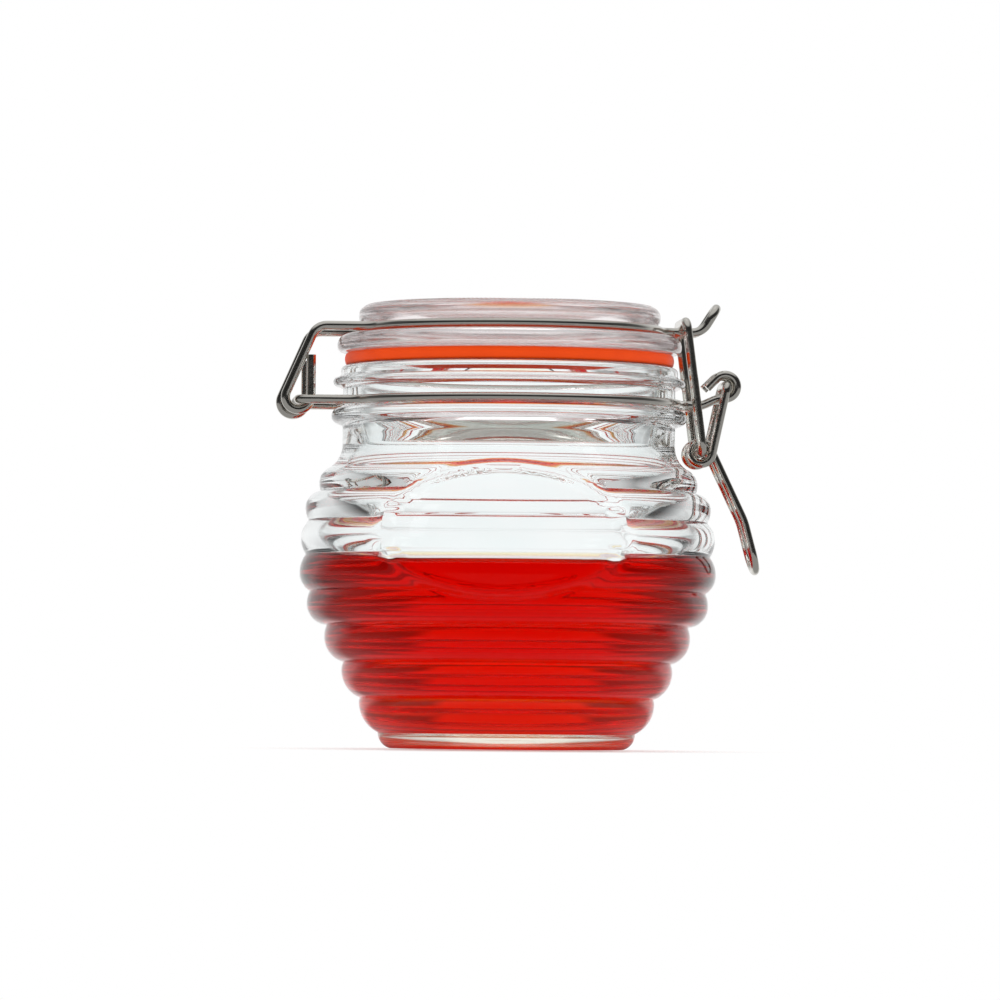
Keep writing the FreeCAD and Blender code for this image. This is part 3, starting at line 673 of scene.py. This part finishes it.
def white_floor():
    """A white sweep, matt and a little polished near the pot, so that it
    keeps the pot's shadow, and plain white further out."""
    mat, tree = material("white_sweep")
    path = add(tree, "ShaderNodeLightPath")
    where = add(tree, "ShaderNodeTexCoord")

    # one near the pot, falling to nothing further out
    flat = add(tree, "ShaderNodeVectorMath",
               {0: where.outputs["Object"], 1: (1, 1, 0)},
               operation="MULTIPLY")
    far = add(tree, "ShaderNodeVectorMath", {0: flat.outputs[0]},
              operation="LENGTH")
    near = add(tree, "ShaderNodeMapRange",
               {"Value": far.outputs["Value"], "From Min": SHADOW_ZONE[0],
                "From Max": SHADOW_ZONE[1], "To Min": 1.0, "To Max": 0.0},
               interpolation_type="SMOOTHSTEP")
    matt = add(tree, "ShaderNodeBsdfDiffuse", {"Color": linear("#ffffff")})
    glow = add(tree, "ShaderNodeEmission",
               {"Color": linear("#ffffff"), "Strength": 1.0})
    shaded = add(tree, "ShaderNodeMath", {0: near.outputs[0], 1: SHADOW},
                 operation="MULTIPLY")
    lit = add(tree, "ShaderNodeMixShader",
              {0: shaded.outputs[0], 1: glow.outputs[0], 2: matt.outputs[0]})
    # a soft polish close to the pot, which mirrors its foot
    polish = add(tree, "ShaderNodeBsdfGlossy",
                 {"Color": linear("#ffffff"), "Roughness": 0.08})
    sheen = add(tree, "ShaderNodeMath", {0: near.outputs[0], 1: POLISH},
                operation="MULTIPLY")
    lit = add(tree, "ShaderNodeMixShader",
              {0: sheen.outputs[0], 1: lit.outputs[0], 2: polish.outputs[0]})
    # what glass and wire see of it is as light as the room above it
    part, _ = way_round(tree, where.outputs["Object"])
    plate = greys(tree, part, [(0.0, 1.0), (0.25, 0.9), (0.36, 0.38),
                               (1.0, 0.38)])
    seen = choose(tree, gleams(tree, path), greys(tree, part, SCREEN), plate)
    # under the pot, rays through the glass see painted amber light, standing
    # in for the light that the honey lets down, and a painted shade at the
    # foot ring
    r = add(tree, "ShaderNodeVectorMath", {0: where.outputs["Object"]},
            operation="LENGTH")
    under = add(tree, "ShaderNodeValToRGB",
                {"Fac": add(tree, "ShaderNodeMath",
                            {0: r.outputs["Value"], 1: 10.0},
                            operation="MULTIPLY").outputs[0]})
    glowing = under.color_ramp.elements
    glowing[0].position, glowing[0].color = 0.12, linear("#e8a02c")
    glowing[1].position, glowing[1].color = 0.34, linear("#ffffff")
    glowing.new(0.24).color = linear("#c8641c")
    glowing.new(0.29).color = linear("#8c3414")
    painted_light_and_shade = blend(tree, "MULTIPLY", seen, under.outputs["Color"])
    other = add(tree, "ShaderNodeEmission", {"Color": painted_light_and_shade})
    bounced = add(tree, "ShaderNodeMath",
                  {0: path.outputs["Is Glossy Ray"],
                   1: path.outputs["Is Transmission Ray"]},
                  operation="MAXIMUM")
    rest = add(tree, "ShaderNodeMixShader",
               {0: bounced.outputs[0], 1: matt.outputs[0],
                2: other.outputs[0]})
    mix = add(tree, "ShaderNodeMixShader",
              {0: path.outputs["Is Camera Ray"], 1: rest.outputs[0],
               2: lit.outputs[0]})
    add(tree, "ShaderNodeOutputMaterial", {"Surface": mix.outputs[0]})
    return mat


deselect()
bpy.ops.mesh.primitive_plane_add(size=6.0, location=(0, 0, -0.0003))
floor = bpy.context.object
floor.name = "white_sweep"
floor.data.materials.append(white_floor())

world = bpy.data.worlds.new("studio")
bpy.context.scene.world = world
world.use_nodes = True
sky = world.node_tree
sky.nodes.clear()
look = add(sky, "ShaderNodeTexCoord")
part, rise = way_round(sky, look.outputs["Generated"])
height = add(sky, "ShaderNodeMapRange",
             {"Value": rise, "From Min": -1.0, "From Max": 1.0,
              "To Min": 0.0, "To Max": 1.0}).outputs["Result"]
path = add(sky, "ShaderNodeLightPath")
through = blend(sky, "MULTIPLY", greys(sky, part, SCREEN),
                greys(sky, height, [(0.0, 0.8), (0.5, 1.0), (0.7, 1.0),
                                    (0.85, 0.5), (1.0, 0.6)]))
through = blend(sky, "LIGHTEN", through,
                greys(sky, height, [(0.0, 0.1), (0.6, 0.1), (0.68, 0.8),
                                    (1.0, 0.7)]))
mirrored = blend(sky, "MULTIPLY", greys(sky, part, ROOM),
                 greys(sky, height, [(0.0, 0.5), (0.5, 1.0), (0.8, 0.6),
                                     (1.0, 0.9)]))
# with a light ceiling
mirrored = blend(sky, "LIGHTEN", mirrored,
                 greys(sky, height, [(0.0, 0.3), (0.45, 0.02), (0.8, 0.02),
                                     (0.88, 0.6), (1.0, 0.7)]))
plain = add(sky, "ShaderNodeMath",
            {0: path.outputs["Is Camera Ray"],
             1: path.outputs["Is Diffuse Ray"]}, operation="MAXIMUM")
light = choose(sky, gleams(sky, path), through, mirrored)
light = choose(sky, plain.outputs[0], light, 1.0)
background = add(sky, "ShaderNodeBackground", {"Strength": 1.0})
sky.links.new(light, background.inputs["Color"])
add(sky, "ShaderNodeOutputWorld", {"Surface": background.outputs[0]})


def lamp(name, place, size, power):
    """A soft box, looking at the middle of the pot."""
    data = bpy.data.lights.new(name, "AREA")
    data.shape = "RECTANGLE"
    data.size, data.size_y = size
    data.energy = power
    obj = bpy.data.objects.new(name, data)
    bpy.context.collection.objects.link(obj)
    obj.location = place
    aim = Vector((0, 0, 0.06)) - obj.location
    obj.rotation_euler = aim.to_track_quat("-Z", "Y").to_euler()
    obj.visible_glossy = False          # no window on each ring


lamp("left_soft_box", (-0.9, -0.55, 0.55), (0.2, 0.8), 1.5)
lamp("right_soft_box", (0.95, -0.45, 0.5), (0.2, 0.8), 1.5)
lamp("top_soft_box", (0.0, 0.15, 1.1), (0.7, 0.5), 2.0)

# -------------------------------------------------------------------- camera
turn = math.radians(CAMERA_TURN)
right = Vector((math.cos(turn), -math.sin(turn), 0))
place = Vector((-math.sin(turn), -math.cos(turn), 0)) * CAMERA_D
place.z = CAMERA_Z
aim = right * AIM_SIDE + Vector((0, 0, AIM_Z))
camera_data = bpy.data.cameras.new("camera")
camera_data.lens = LENS
camera_data.sensor_width = 36.0
camera_data.clip_start, camera_data.clip_end = 0.05, 50.0
camera = bpy.data.objects.new("camera", camera_data)
bpy.context.collection.objects.link(camera)
camera.location = place * MM
facing = (aim - place).to_track_quat("-Z", "Y")
camera.matrix_world = (Matrix.Translation(place * MM)
                       @ facing.to_matrix().to_4x4()
                       @ Matrix.Rotation(math.radians(ROLL), 4, "Z"))
scene = bpy.context.scene
scene.camera = camera
scene.view_settings.view_transform = "Standard"
scene.cycles.max_bounces = 24
scene.cycles.transmission_bounces = 24
scene.cycles.glossy_bounces = 8
